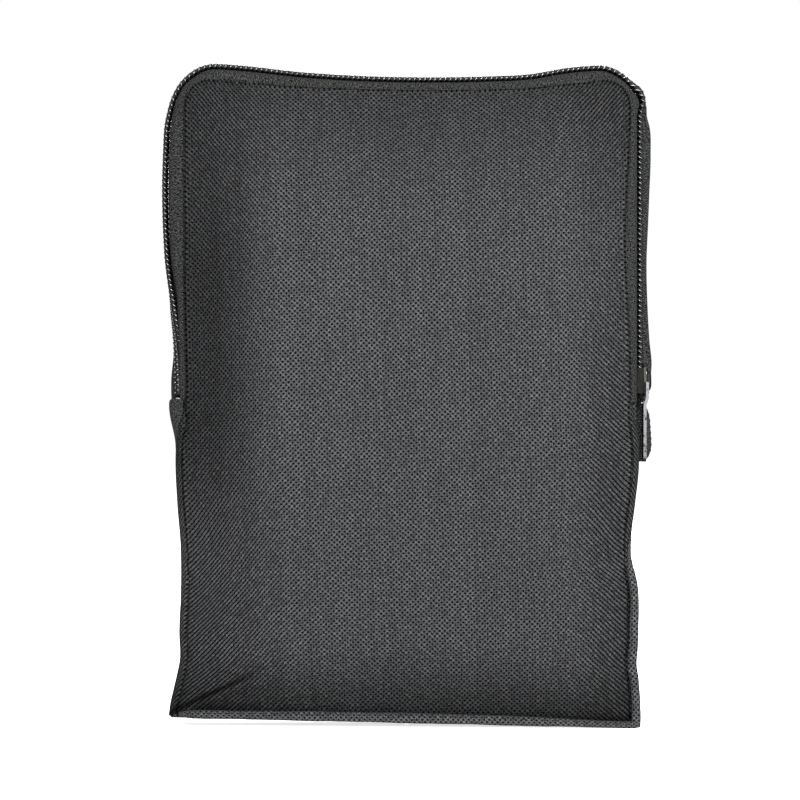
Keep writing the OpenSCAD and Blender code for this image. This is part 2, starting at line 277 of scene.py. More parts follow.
class Arch:
    """The line up the right side of the bag, over the top and down the left side."""

    def __init__(self, start_z):
        self.run = CORNER_Z - start_z
        self.bend = math.pi / 2 * (CORNER_R + TAPE_OUT)
        self.flat = 2 * CORNER_X
        self.length = 2 * (self.run + self.bend) + self.flat

    def at(self, s, out):
        """X and Z of the point that is s along the line and out from the panel's folded edge."""
        s, out = np.broadcast_arrays(np.asarray(s, float), np.asarray(out, float))
        first = np.clip((s - self.run) / self.bend, 0, 1)
        second = np.clip((s - self.run - self.bend - self.flat) / self.bend, 0, 1)
        angle = (first + second) * math.pi / 2   # from +X towards +Z, facing outwards
        before = np.clip(self.run - s, 0, None)
        over = np.clip(s - self.run - self.bend, 0, self.flat)
        after = np.clip(s - self.length + self.run, 0, None)
        x = CORNER_X - over + (CORNER_R + out) * np.cos(angle)
        z = CORNER_Z - before - after + (CORNER_R + out) * np.sin(angle)
        return x, z

    def points(self, s, out, y):
        """Points in space, leaned as the left end of the zip leans and settled as the cloth is."""
        s, out, y = np.broadcast_arrays(*(np.asarray(value, float) for value in (s, out, y)))
        height = self.at(s, 0.0)[1]
        share = smooth(-6.2, -3.0, y) * smooth(6.0, 3.0, y) * (s > self.length - self.run)
        angle = LEAN * smooth(150, 106, height) * share
        out_arm, y_arm = out - LEAN_PIVOT[0], y - LEAN_PIVOT[1]
        out = LEAN_PIVOT[0] + out_arm * np.cos(angle) + y_arm * np.sin(angle)
        y = LEAN_PIVOT[1] + y_arm * np.cos(angle) - out_arm * np.sin(angle)
        x, z = self.at(s, out)
        return settle(together(x, y, z))


def swept_band(name, arch, s, sections, sign):
    """A band along an arch, with one section of (out, y) pairs or one for each place along it.

    sign is -1 for a band at the front and 1 for one at the back.
    """
    sections = np.broadcast_to(sections, (len(s),) + np.shape(sections)[-2:])
    points = arch.points(s[:, None], sections[..., 0], sign * sections[..., 1])
    return sheet(name, points, together(distance_along(sections[0]), s[:, None]))


# ---- node materials ----

# Distance between neighbouring yarns of the outer cloth, and how far its yarns lean from straight
YARN = 0.81
WEFT_SKEW = -0.065
WARP_LEAN = 0.025

# Places of the colour sockets on Blender's Mix node, which has one set for each data type
COLOUR_A, COLOUR_B, COLOUR_RESULT = 6, 7, 2


class Value:
    """What a node gives: a number, place or colour that further nodes can be hung on."""

    def __init__(self, nodes, socket):
        self.nodes = nodes
        self.socket = socket

    def __add__(self, other):
        return self.nodes.math("ADD", self, other)

    def __sub__(self, other):
        return self.nodes.math("SUBTRACT", self, other)

    def __rsub__(self, other):
        return self.nodes.math("SUBTRACT", other, self)

    def __mul__(self, other):
        return self.nodes.math("MULTIPLY", self, other)

    def __truediv__(self, other):
        return self.nodes.math("DIVIDE", self, other)

    __radd__ = __add__

    def noise(self, scale, detail=2.0):
        return self.nodes.add("TexNoise", {"Vector": self, "Scale": scale, "Detail": detail}, "Fac")

    def cells(self, scale):
        """Distance from the nearest of many scattered points."""
        return self.nodes.add("TexVoronoi", {"Vector": self, "Scale": scale}, "Distance")

    def random(self):
        """A number from 0 to 1 that is steady inside each whole step of a place."""
        return self.nodes.add("TexWhiteNoise", {"Vector": self}, "Value")

    def between(self, a, b):
        """Number that goes from a to b as this goes from 0 to 1."""
        return self.nodes.add("MapRange", {"Value": self, "To Min": a, "To Max": b})

    def rescale(self, start, end, a=0.0, b=1.0):
        """Number that goes smoothly from a to b as this goes from start to end."""
        return self.nodes.add("MapRange", {"Value": self, "From Min": start, "From Max": end, "To Min": a,
                                           "To Max": b}, interpolation_type="SMOOTHSTEP")

    def mix(self, a, b):
        """Colour that goes from a to b as this goes from 0 to 1."""
        return self.nodes.add("Mix", {"Factor": self, COLOUR_A: a, COLOUR_B: b}, COLOUR_RESULT,
                              data_type="RGBA")

    def tint(self, colour):
        """A colour made lighter or darker by this number."""
        return self.nodes.add("VectorMath", {0: colour[:3], "Scale": self}, operation="SCALE")


class Nodes:
    """Node tree of a new material or world."""

    def __init__(self, name, kind="materials"):
        self.owner = getattr(bpy.data, kind).new(name)
        self.owner.use_nodes = True
        self.tree = self.owner.node_tree
        self.tree.nodes.clear()

    def node(self, kind, inputs, **settings):
        made = adjust(self.tree.nodes.new("ShaderNode" + kind), **settings)
        for key, value in inputs.items():
            if isinstance(value, Value):
                self.tree.links.new(value.socket, made.inputs[key])
            else:
                made.inputs[key].default_value = value
        return made

    def add(self, kind, inputs, output=0, **settings):
        return Value(self, self.node(kind, inputs, **settings).outputs[output])

    def math(self, operation, *values):
        return self.add("Math", dict(enumerate(values)), operation=operation)

    def cloth_place(self):
        """Cloth coordinates in millimetres, as two numbers."""
        parts = self.node("SeparateXYZ", {0: self.add("UVMap", {}, uv_map="cloth")})
        return Value(self, parts.outputs[0]), Value(self, parts.outputs[1])

    def object_place(self):
        return self.add("TexCoord", {}, "Object")

    def ray(self, kind):
        """1 for rays of one kind and 0 for all others."""
        return self.add("LightPath", {}, f"Is {kind} Ray")

    def vector(self, x, y, z=0.0):
        return self.add("CombineXYZ", {0: x, 1: y, 2: z})

    def finish(self, colour, roughness, height, depth, **others):
        """Adds a shader, its surface raised by depth where height is 1, and gives the material."""
        inputs = {key.replace("_", " "): value for key, value in others.items()}
        inputs["Normal"] = self.add("Bump", {"Height": height, "Distance": depth * MM, "Strength": 1.0})
        shader = self.add("BsdfPrincipled", {"Base Color": colour, "Roughness": roughness, **inputs})
        self.node("OutputMaterial", {"Surface": shader})
        return self.owner


def rgb(red, green, blue):
    return (red, green, blue, 1.0)


def grey(light):
    return rgb(light, light, light)


def plain_weave(nodes, yarn, skew=0.0, lean=0.0, waviness=0.4, pull=0.0, crowding=0.0):
    """Height of a plain weave from 0 to 1, and the number of each warp and weft yarn.

    pull, from -1 to 1, makes the floats run together along one diagonal or the other, and
    crowding moves the warp yarns sideways by that many millimetres.
    """
    u, v = nodes.cloth_place()
    wave_u = nodes.vector(u, v).noise(0.11).between(-waviness, waviness)
    wave_v = nodes.vector(v, u, 7.0).noise(0.13).between(-waviness, waviness)
    warp = (v * lean + u + crowding) / yarn + wave_u
    weft = (u * skew + v) / yarn + wave_v
    rising = nodes.math("COSINE", (warp - weft) * math.pi) * (1 + pull)
    falling = nodes.math("COSINE", (warp + weft) * math.pi) * (1 - pull)
    height = (rising - falling).rescale(-2.0, 2.0)
    return height, nodes.math("FLOOR", warp), nodes.math("FLOOR", weft)


def panel_weave_and_shade(nodes, u, v):
    """Pull and crowding of a panel's weave, and a painted shade factor that darkens its cloth towards its
    sides, top and bottom and along the corner crease.
    """
    # The floats run together along the diagonals towards the left side and at the right edge
    left_pull = u.rescale(-62, -14, 1, 0) * v.rescale(20, 200, 0.62, -0.42)
    right_pull = u.rescale(44, 66) * v.rescale(90, 190, -0.6, 0.2)
    corner_pull = u.rescale(34, 56) * v.rescale(172, 198, 0, 0.4)
    # The warp is crowded together near the left side
    crowding = u.rescale(-70, -38, -4.6, 0) * v.rescale(10, 60, 0.1, 1)
    # Painted shade: the cloth is darkened towards its left and right sides, its top and its bottom, so it
    # is palest in the middle
    left_painted_shade = v.rescale(50, 100, 0.86, 0.42) + v.rescale(140, 190, 0, 0.36)
    sides = u.rescale(-60, -40, 1, 0).between(1, left_painted_shade) * u.rescale(44, 70, 1, 0.82)
    ends = v.rescale(2, 26, 0.5, 1) * v.rescale(150, 203, 1, 0.66)
    # Painted shade along the crease in the left bottom corner, where the cloth is darkened
    from_crease = nodes.math("ABSOLUTE", u * 0.56 + 41.6 - v)
    # How much painted shade darkens the cloth along the crease, down to a third of its tone at the line
    folded = from_crease.rescale(0.2, 1.5, 0.66, 0) * u.rescale(-54, -42, 1, 0)
    # The third result is painted shade, darker towards the edges and along the corner crease
    return left_pull + right_pull + corner_pull, crowding, sides * ends * (1 - folded)


def oxford_cloth(nodes, light=1.0, panel=False):
    """Coarse charcoal plain weave with uneven yarns and a few specks of lint, near black in its gaps as
    painted shade. light scales its colour for copies painted lighter or darker, and on a panel painted
    shade darkens it towards its edges.
    """
    u, v = nodes.cloth_place()
    place = nodes.vector(u, v)
    # On a panel the cloth also gets painted shade, darker towards its edges and along the corner crease
    pull, crowding, painted_shade = panel_weave_and_shade(nodes, u, v) if panel else (0.0, 0.0, 1.0)
    height, warp, weft = plain_weave(nodes, YARN, WEFT_SKEW, WARP_LEAN, pull=pull, crowding=crowding)
    # Painted shade: near black in the small gaps where the yarns pass under
    net = height.rescale(0.0, 0.55)
    yarn_tone = nodes.vector(warp, 0.0).random().between(0.9, 1.1)
    raised = nodes.math("MINIMUM", nodes.math("ABSOLUTE", height * 3.2 - 1.6), 1.0)
    float_tone = raised * nodes.vector(warp, weft).random().between(-0.42, 0.42) + 1.0
    cloud = place.noise(0.03, 3.0).between(0.88, 1.12)
    strand = place.noise(2.4, 3.0)
    tone = yarn_tone * float_tone * (cloud * painted_shade) * strand.rescale(0.28, 0.72, 0.25, 1.75)
    # light scales the yarns' colour, painting a copy of the cloth lighter or darker
    yarn_colour = tone.tint(rgb(0.0250 * light, 0.0255 * light, 0.0266 * light))
    speck = place.cells(0.03).rescale(0.006, 0.011, 1.0, 0.0)
    # The colour is near black in the gaps as painted shade, with pale lint specks over it
    colour = speck.mix(net.mix(grey(0.001), yarn_colour), rgb(0.5, 0.5, 0.48))
    # The yarns' shine is lowered where painted shade darkens the panel
    shine = net * painted_shade
    return nodes.finish(colour, strand.between(0.6, 0.8), strand * 0.3 + net, 0.16,
                        Specular_IOR_Level=shine.between(0.0, 0.12), Sheen_Weight=shine.between(0.0, 0.012),
                        Sheen_Roughness=0.4)


def knitted_tape(nodes):
    """Close knitted tape with an olive tint and a grainy face."""
    u, v = nodes.cloth_place()
    slant = nodes.math("FRACT", (v + nodes.math("PINGPONG", u, 1.2)) / 0.8)
    rib = nodes.math("SINE", slant * math.pi)
    height = rib.between(0.35, 1.0) * nodes.vector(u, v).noise(2.2, 3.0).rescale(0.34, 0.66)
    cloud = nodes.vector(v, u).noise(0.35, 3.0).between(0.75, 1.25)
    colour = height.mix(grey(0.0012), cloud.tint(rgb(0.036, 0.038, 0.036)))
    return nodes.finish(colour, 0.75, height, 0.15, Specular_IOR_Level=height.between(0.0, 0.1),
                        Sheen_Weight=0.01)


def nylon(nodes):
    """Glossy black monofilament, a little worn."""
    scuff = nodes.object_place().noise(900.0)
    return nodes.finish(rgb(0.002, 0.002, 0.0025), scuff.between(0.24, 0.32), scuff, 0.003,
                        Specular_IOR_Level=1.0)


def sewing_thread(nodes):
    """Twisted black thread."""
    u, v = nodes.cloth_place()
    twist = nodes.math("SINE", (u + v) * 14.0)
    colour = twist.rescale(-1.0, 1.0).mix(grey(0.002), rgb(0.013, 0.013, 0.014))
    return nodes.finish(colour, 0.6, twist, 0.03, Specular_IOR_Level=0.2)


def dark_lacquer(nodes):
    """Olive-black lacquer over metal, with fine scratches."""
    place = nodes.object_place()
    scratch = nodes.vector(place.noise(300.0), place.noise(2500.0)).noise(6.0, 4.0)
    colour = scratch.mix(rgb(0.002, 0.002, 0.0015), rgb(0.008, 0.008, 0.006))
    return nodes.finish(colour, scratch.between(0.22, 0.34), scratch, 0.01, Specular_IOR_Level=0.07)


def bare_metal(nodes):
    """Bright metal where the lacquer has worn off, with dark patches left."""
    patch = nodes.object_place().noise(900.0, 3.0).rescale(0.32, 0.45)
    colour = patch.mix(grey(0.02), rgb(0.11, 0.113, 0.12))
    return nodes.finish(colour, patch.between(0.55, 0.42), patch, 0.01, Metallic=0.9)


def spring_steel(nodes):
    """Plain hardened strip, brushed."""
    grain = nodes.object_place().noise(2000.0, 3.0)
    return nodes.finish(rgb(0.07, 0.07, 0.072), grain.between(0.25, 0.4), grain, 0.005, Metallic=1.0)


def glass_cloth(nodes):
    """Pale coated glass-fibre cloth, a finer plain weave than the outside."""
    height, warp, weft = plain_weave(nodes, 0.6, waviness=0.2)
    tone = nodes.vector(warp, weft).random().between(0.88, 1.05)
    colour = height.mix(rgb(0.055, 0.057, 0.052), tone.tint(rgb(0.16, 0.163, 0.154)))
    return nodes.finish(colour, 0.42, height, 0.1, Specular_IOR_Level=0.5)


def closed_foam(nodes):
    """Closed-cell foam sheet."""
    cell = nodes.object_place().cells(1400.0)
    return nodes.finish(cell.mix(rgb(0.03, 0.03, 0.029), rgb(0.08, 0.08, 0.078)), 0.85, cell, 0.1)


def ribbed_binding(nodes):
    """Ribbed black binding."""
    _, v = nodes.cloth_place()
    height = nodes.math("SINE", v * (2 * math.pi / 0.7)).rescale(-1.0, 1.0)
    return nodes.finish(height.mix(grey(0.006), rgb(0.05, 0.05, 0.052)), 0.7, height, 0.12,
                        Sheen_Weight=0.1)


# Each material, with the slot that it fills
PANEL_CLOTH = oxford_cloth(Nodes("oxford_cloth_panel"), panel=True), "oxford_cloth"
# Copies of one cloth: the lips' cloth is painted lighter and the gussets' painted darker than the panels'
CLOTH = oxford_cloth(Nodes("oxford_cloth"), 1.25), "oxford_cloth"
SIDE_CLOTH_PAINTED_DARKER = oxford_cloth(Nodes("oxford_cloth_side"), 0.9), "oxford_cloth"
TAB_CLOTH = knitted_tape(Nodes("folded_tape")), "end_tab"
TAPE = knitted_tape(Nodes("zip_tape")), "zip_tape"
COIL = nylon(Nodes("nylon_coil")), "zip_coil"
THREAD = sewing_thread(Nodes("thread")), "thread"
LACQUER = dark_lacquer(Nodes("dark_lacquer")), "slider_metal"
STOP_LACQUER = LACQUER[0], "zip_coil"
BARE_METAL = bare_metal(Nodes("bare_metal")), "slider_metal"
STEEL = spring_steel(Nodes("spring_steel")), "spring_steel"
GLASS_CLOTH = glass_cloth(Nodes("glass_cloth")), "glass_cloth"
FOAM = closed_foam(Nodes("foam")), "padding"
BINDING = ribbed_binding(Nodes("binding_tape")), "binding"


# ---- how pieces join the frame ----


def dress(piece, finish, *more):
    """Gives a piece the material of a finish, and the materials of any more."""
    piece.data.materials.clear()
    for material, _ in (finish, *more):
        piece.data.materials.append(material)


def on_bag(piece, finish, *nodes):
    """A piece that rides on the bag, in place of some CAD nodes."""
    dress(piece, finish)
    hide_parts(*nodes)
    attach(piece, "bag")


def across_fold(piece, finish, *nodes):
    """A soft piece of the front, in place of some CAD nodes, with its placement baked into its mesh and no
    body to ride on.
    """
    dress(piece, finish)
    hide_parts(*nodes)
    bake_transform(piece)


# ---- panels ----

GRID = 1.6   # size of a cell of the panels' meshes
PUFF_FOLD = 1.7   # how far the cloth rises in the first millimetres from its edge
PUFF_SIDE = 4.0   # how far it rises from there to the middle
TUCK_ROWS = [0.1, 0.4, 0.8]   # heights of the rows tucked behind the seam, as shares of its own height
TUCK_BACK = 0.5   # how far behind the panel's edge those rows lie
CORNER_DROP = 2.6   # how far the front cloth reaches down past the left end of the lip
FRONT_BOTTOM_Z = LIP_TALLEST + 0.3   # lower edge of the front panel, in the groove above the lip
BACK_BOTTOM_Z = 1.2
LAYER_BOTTOM_Z = FRONT_BOTTOM_Z + 0.6

# Rims of a panel are (out, back) offsets from its folded edge.
# Along the zip it is a tight fold that goes back under the panel
TIGHT_RIM = np.array([(0.2, 0.2), (0.35, 0.8), (0.2, 1.4), (-0.7, 1.75), (-3.5, 1.8)])
# Below the zip the cloth rolls round the side and dips into the seam of the gusset
WIDE_RIM = np.array([(0.9, 0.35), (1.7, 1.2), (2.1, 2.2), (2.0, 3.0), (1.2, 3.3)])
# An inner layer has a short turn inwards
LAYER_RIM = np.array([(0.2, 0.3), (0.2, 0.9)])


def cloth_rim(z):
    """Rim of the outer cloth at height z."""
    share = smooth(ZIP_END_Z + 1, ZIP_END_Z - 9, z)
    return TIGHT_RIM * (1 - share) + WIDE_RIM * share


def panel_rows(bottom):
    """Heights of a panel's rows, closer together in the round corners."""
    straight = steps(bottom, CORNER_Z, GRID)
    angles = np.linspace(0, math.pi / 2, 13)[1:]
    return np.concatenate([straight, CORNER_Z + CORNER_R * np.sin(angles)])


def row_half_width(z):
    """Half the width of a panel at height z."""
    rise = np.clip(z - CORNER_Z, 0, CORNER_R)
    return CORNER_X + np.sqrt(np.clip(CORNER_R ** 2 - rise ** 2, 0, None))


def panel_depth(x, z, bottom):
    """How far a panel stands out from its edge, which depends on the distance from that edge."""
    corner_x, corner_z = np.abs(x) - CORNER_X, z - CORNER_Z
    rounded = CORNER_R - np.hypot(np.maximum(corner_x, 0), np.maximum(corner_z, 0))
    straight = np.minimum(PANEL_HALF_W - np.abs(x), PANEL_TOP - z)
    upper = np.where((corner_x > 0) & (corner_z > 0), rounded, straight)
    inwards = np.maximum(np.minimum(upper, z - bottom), 0)
    side = np.sin(np.minimum(inwards / 34, 1) * math.pi / 2) ** 1.2
    return PUFF_FOLD * (1 - np.exp(-inwards / 1.6)) + (PUFF_SIDE - 0.5 * hump(150, 40, z)) * side


def drawn_in(x, z):
    """How far along X the front panel's sides are drawn in beside the zip."""
    left = 1.3 * hump(108, 16, z) + 0.7 * smooth(108, 135, z)
    right = 1.7 * hump(152, 24, z)
    return left * smooth(-55, -PANEL_HALF_W, x) - right * smooth(55, PANEL_HALF_W, x)


def panel_sheet(name, sign, bottom, rim, sunk=0.0, inset=0.0):
    """A panel with its rim turned in, and the vertices that its seams hold.

    rim(z) gives the rim's offsets at height z. sunk and inset are how much deeper and narrower
    the panel is than the outer cloth.
    """
    z = np.concatenate([bottom * np.array(TUCK_ROWS), panel_rows(bottom)])
    columns = int(round(2 * PANEL_HALF_W / GRID)) + 1
    share = np.linspace(-1, 1, columns) * (1 - inset / PANEL_HALF_W)
    x = row_half_width(z)[:, None] * share
    z = np.broadcast_to(z[:, None], x.shape)
    y = sign * (EDGE_Y - sunk + panel_depth(x, z, bottom) - TUCK_BACK * (z < bottom))
    if sign < 0:
        # The lower edge follows the lip, and the left corner reaches down past the lip's end
        lowered = LIP_TALLEST - through(LIP_HEIGHT, x)
        corner = CORNER_DROP * smooth(-65.5, -69.0, x)
        z = np.where(z < bottom, z * (1 - lowered / bottom), z - (lowered + corner) * smooth(22, bottom, z))
        x = x + drawn_in(x, z)
    points = together(x, y, z).reshape(-1, 3)
    uv = points[:, [0, 2]]
    faces = quads(len(z), columns)
    # The border runs up the left side, over the top and down the right side
    number = np.arange(len(points)).reshape(-1, columns)
    border = np.concatenate([number[:, 0], number[-1, 1:-1], number[::-1, -1]]).tolist()
    edge = points[border]
    x, _, z = edge.T
    outwards = unit(together(np.maximum(np.abs(x) - CORNER_X, 0) * np.sign(x), np.maximum(z - CORNER_Z, 0)))
    previous = border
    for offsets in np.swapaxes([rim(height) for height in z], 0, 1):
        moved = edge.copy()
        moved[:, [0, 2]] += outwards * offsets[:, :1]
        moved[:, 1] = sign * (EDGE_Y - sunk - offsets[:, 1])
        reach = np.maximum(offsets.sum(axis=1, keepdims=True), 0)
        uv = np.vstack([uv, edge[:, [0, 2]] + outwards * reach])
        current = list(range(len(points), len(points) + len(border)))
        points = np.vstack([points, moved])
        faces += zip(previous, current, current[1:], previous[1:])
        previous = current
    made = new_object(name, settle(points), faces, uv)
    if sign > 0:
        made.data.flip_normals()
    bottom_rows = number[:len(TUCK_ROWS) + 1].ravel().tolist()
    return made, bottom_rows + border + list(range(number.size, len(points)))


# ---- cloth simulation ----

FULLNESS = 9.81   # force that fills the panels out
FRAMES = 22   # length of the simulation
SLACK = 0.006   # how much wider than its rim the cloth is cut
FARTHEST = 2.2   # no vertex moves farther than this
CLOTH_SETTINGS = {"vertex_group_mass": "rim", "quality": 6, "mass": 0.2, "tension_stiffness": 40,
                  "compression_stiffness": 40, "shear_stiffness": 20, "bending_stiffness": 2.0,
                  "air_damping": 4, "shrink_min": -SLACK}


def simulate(piece, pinned, push):
    """Lets a sheet find its own shape while its rim is held; push is the force along Y."""
    piece.vertex_groups.new(name="rim").add(pinned, 1.0, "REPLACE")
    before = places_of(piece.data)
    scene = bpy.context.scene
    adjust(scene, gravity=(0, push, 0), frame_start=1, frame_end=FRAMES)
    cloth = piece.modifiers.new("Cloth", "CLOTH")
    adjust(cloth.settings, **CLOTH_SETTINGS)
    adjust(cloth.collision_settings, use_collision=False, use_self_collision=False)
    adjust(cloth.point_cache, frame_start=1, frame_end=FRAMES)
    for number in range(1, FRAMES + 1):
        scene.frame_set(number)
    after = places_of(piece.evaluated_get(bpy.context.evaluated_depsgraph_get()).data)
    piece.modifiers.clear()
    piece.vertex_groups.clear()
    scene.frame_set(1)
    moved = after - before
    length = np.linalg.norm(moved, axis=1)
    held = np.minimum(1, FARTHEST / np.maximum(length, 1e-6))
    move_vertices(piece.data, before + moved * held[:, None])


# ---- outer cloth ----

CLOTH_THICK = 0.45
# Start and end as (x, z), depth and width of each fold line in the front cloth
CREASES = [((-70.5, 5.2), (-45, 18.6), 2.0, 0.7),
           ((-69.5, 104), (-68.0, 84), 0.5, 0.9),
           ((69.5, 104), (68.5, 90), 0.5, 0.9)]


def press_crease(piece, start, end, depth, width):
    """Presses a fold line into the front cloth, with a low ridge along one side."""
    places = places_of(piece.data)
    start, end = np.array(start, float), np.array(end, float)
    line = end - start
    length = np.linalg.norm(line)
    offset = places[:, [0, 2]] - start
    along = np.clip(offset @ line / length ** 2, 0, 1)
    across = (offset[:, 0] * line[1] - offset[:, 1] * line[0]) / length
    beyond = np.linalg.norm(offset - along[:, None] * line, axis=1)
    fade = np.sin(np.clip(along, 0.02, 0.98) * math.pi) ** 0.5 * (1 - 0.5 * along)
    ridge = hump(1.8 * width, 1.2 * width, beyond) * (across > 0)
    places[:, 1] += depth * fade * (hump(0, width, beyond) - 0.5 * ridge)
    move_vertices(piece.data, places)


def outer_cloth():
    """Front and back panels of outer cloth, each shaped by simulation while its rim is held."""
    front, held = panel_sheet("front_cloth", -1, FRONT_BOTTOM_Z, cloth_rim)
    back, back_held = panel_sheet("back_cloth", 1, BACK_BOTTOM_Z, cloth_rim)
    simulate(front, held, push=-FULLNESS)
    simulate(back, back_held, push=FULLNESS)
    for piece in (front, back):
        subdivide(piece)
    for crease in CREASES:
        press_crease(front, *crease)
    for piece in (front, back):
        thicken(piece, CLOTH_THICK)
    across_fold(front, PANEL_CLOTH, "front_panel_lower", "front_panel_flap")
    on_bag(back, PANEL_CLOTH, "back_panel")
    return front, back


# Name, CAD node, finish, depth, inset and thickness of each layer behind the outer cloth
LAYERS = [("foam", "padding", FOAM, 1.9, 1.2, 1.2), ("glass_cloth", "lining", GLASS_CLOTH, 3.4, 1.6, 0.35)]


def inner_layers():
    """Padding and lining behind each panel."""
    for sign, side in ((-1, "front_"), (1, "back_")):
        for name, node, finish, sunk, inset, thickness in LAYERS:
            layer, _ = panel_sheet(side + name, sign, LAYER_BOTTOM_Z, lambda z: LAYER_RIM, sunk, inset)
            thicken(layer, thickness)
            if sign < 0:
                across_fold(layer, finish, side + node + "_lower", side + node + "_flap")
            else:
                on_bag(layer, finish, side + node)


# ---- gussets ----

GUSSET_THICK = 0.4
# Half of a side gusset's section as (out, y), from its front seam to its middle
GUSSET_HALF = [(1.0, -4.5), (1.75, -4.35), (2.05, -3.7), (2.05, -2.4), (1.95, 0)]
LINING_HALF = [(0.9, -4.2), (1.0, 0)]
# Half of the bottom gusset's section as (z, y)
BOTTOM_HALF = [(1.0, -8.2), (0.35, -7.6), (0.1, -6.5), (0, -3.5), (0, 0)]
BOTTOM_LINING_Z = 0.9


def mirrored_section(half):
    """A section that is the same on both sides of the middle plane."""
    return np.array(half + [(out, -y) for out, y in reversed(half[:-1])], float)


def side_strip(name, side, heights, half):
    """A strip up one side of the bag, with the same section at each height."""
    section = mirrored_section(half)
    points = together(side * (PANEL_HALF_W + section[:, 0]), section[:, 1], heights[:, None])
    made = sheet(name, settle(points), together(distance_along(section), heights[:, None]))
    if side > 0:
        made.data.flip_normals()
    return made


def gussets():
    """Side and bottom gussets, and the lining inside them."""
    heights = steps(0.8, ZIP_END_Z + 1.0, GRID)
    for side, word in ((-1, "left"), (1, "right")):
        strip = side_strip("side_cloth_" + word, side, heights, GUSSET_HALF)
        thicken(strip, GUSSET_THICK)
        on_bag(strip, SIDE_CLOTH_PAINTED_DARKER, "side_gusset_" + word)
    x = steps(-PANEL_HALF_W - 1.6, PANEL_HALF_W + 1.6, GRID)[:, None]
    z, y = mirrored_section(BOTTOM_HALF).T
    points = together(x, y, z)
    bottom = sheet("bottom_cloth", settle(points), points[..., :2])
    thicken(bottom, GUSSET_THICK, side=1)
    on_bag(bottom, SIDE_CLOTH_PAINTED_DARKER, "bottom_gusset")
    inside = [side_strip("lining", side, heights, LINING_HALF) for side in (-1, 1)]
    floor = together(x * 0.985, y[1:-1] * 0.9, BOTTOM_LINING_Z)
    inside.append(sheet("lining", settle(floor), floor[..., :2]))
    lining = joined("gusset_glass_cloth", inside)
    thicken(lining, 0.3)
    on_bag(lining, GLASS_CLOTH, "gusset_lining")


# ---- pinched seams ----

LIP_STEP = 1.2


def ripple(t, seed):
    """A small uneven wave, the same each time."""
    return (np.sin(t * 0.19 + seed) + 0.6 * np.sin(t * 0.43 + 2.1 * seed)
            + 0.4 * np.sin(t * 0.97 + 3.7 * seed)) / 2


def rounded_section(half_a, half_b, count=20, power=0.62):
    """Points round a soft-cornered rectangle, or round one for each pair of half sizes."""
    angles = np.arange(count) * 2 * math.pi / count
    a, b = np.cos(angles), np.sin(angles)
    outline = together(np.sign(a) * np.abs(a) ** power, np.sign(b) * np.abs(b) ** power)
    return outline * together(half_a, half_b)[..., None, :]


def loft(name, centres, axes, sections, along):
    """A tube: at each centre, the section's points are laid off along two of the axes X, Y and Z."""
    rings = settle(centres)[:, None] + sections @ np.eye(3)[list(axes)]
    around = distance_along(sections[len(sections) // 2])
    return tube(name, rings, together(around, along[:, None]))


def bottom_lip():
    """Raised lip where front and bottom are pinched together and sewn."""
    x = steps(-PANEL_HALF_W + 1.0, LIP_RIGHT_X - 0.3, LIP_STEP)
    left_end = 0.5 + 0.5 * smooth(-PANEL_HALF_W + 0.4, -PANEL_HALF_W + 5, x)
    right_end = 0.6 + 0.4 * smooth(LIP_RIGHT_X, LIP_RIGHT_X - 2.5, x)
    half_height = through(LIP_HEIGHT, x) / 2
    sections = rounded_section((1.25 + 0.15 * ripple(x, 2.0)) * right_end,
                               (half_height + 0.1 * ripple(x, 1.0)) * left_end * right_end)
    lip = loft("bottom_lip", together(x, -EDGE_Y - 1.35, half_height), (1, 2), sections, x)
    on_bag(lip, CLOTH, "bottom_seam_lip")
    return lip


def right_lip():
    """Raised lip up the lower right front edge, which runs out into the side at its top."""
    z = steps(0.5, LIP_RIGHT_TOP_Z, LIP_STEP)
    fade = 1 - 0.75 * smooth(LIP_RIGHT_TOP_Z - 14, LIP_RIGHT_TOP_Z, z)
    sections = rounded_section(1.45 * fade + 0.1 * ripple(z, 3.0), 1.2 * fade)
    lip = loft("right_lip", together(LIP_RIGHT_X - 1.5, -EDGE_Y - 0.9 * fade, z), (0, 1), sections, z)
    on_bag(lip, CLOTH, "right_seam_lip")
    return lip


# ---- zip ----

# Section of a zip tape as (out, distance from the middle plane), from under the panel to its inner edge
TAPE_SECTION = [(-3.0, 6.0), (-1.0, 6.1), (0.4, 6.2), (1.1, 6.0), (1.8, 5.4), (2.3, 4.5), (2.55, 3.5),
    (2.6, 2.4), (2.6, 0.7)]
TAPE_THICK = 0.4
COIL_PITCH = 1.6
COIL_WIRE_R = 0.38
COIL_MID_OUT = COIL_OUT - 1.0
COIL_HALF_H = 0.62
COIL_MID_Y = 1.5
COIL_HALF_W = 1.42
COIL_SQUARENESS = 0.55   # 1 gives round turns, less gives turns with flat sides
CORD_R = 0.3   # cord that runs through the turns
WIRE_SIDES = 6


def back_tape_section(bulge):
    """Section of the back tape where it bulges out by this much behind the coils."""
    return [(-3.0, 6.0), (-1.0, 6.3), (0.6, 6.9), (bulge - 1.2, 7.1), (bulge - 0.3, 6.7), (bulge, 6.0),
            (bulge - 0.2, 5.3), ((bulge + 2.9) / 2, 4.9), (2.8, 4.4), (2.6, 3.6), (2.6, 2.4), (2.6, 0.7)]


def zip_tapes():
    arch = Arch(ZIP_END_Z)
    s = steps(0, arch.length, 1.0)
    front = swept_band("front_tape", arch, s, TAPE_SECTION, -1)
    thicken(front, TAPE_THICK, side=0)
    across_fold(front, TAPE, "zip_tape_front_ends", "zip_tape_front_flap")
    x, z = arch.at(s, 0.0)
    bulge = np.where(x < 0, through(LEFT_BULGE, z), through(RIGHT_BULGE, z))
    back = swept_band("back_tape", arch, s, [back_tape_section(value) for value in bulge], 1)
    thicken(back, TAPE_THICK, side=0)
    on_bag(back, TAPE, "zip_tape_back")


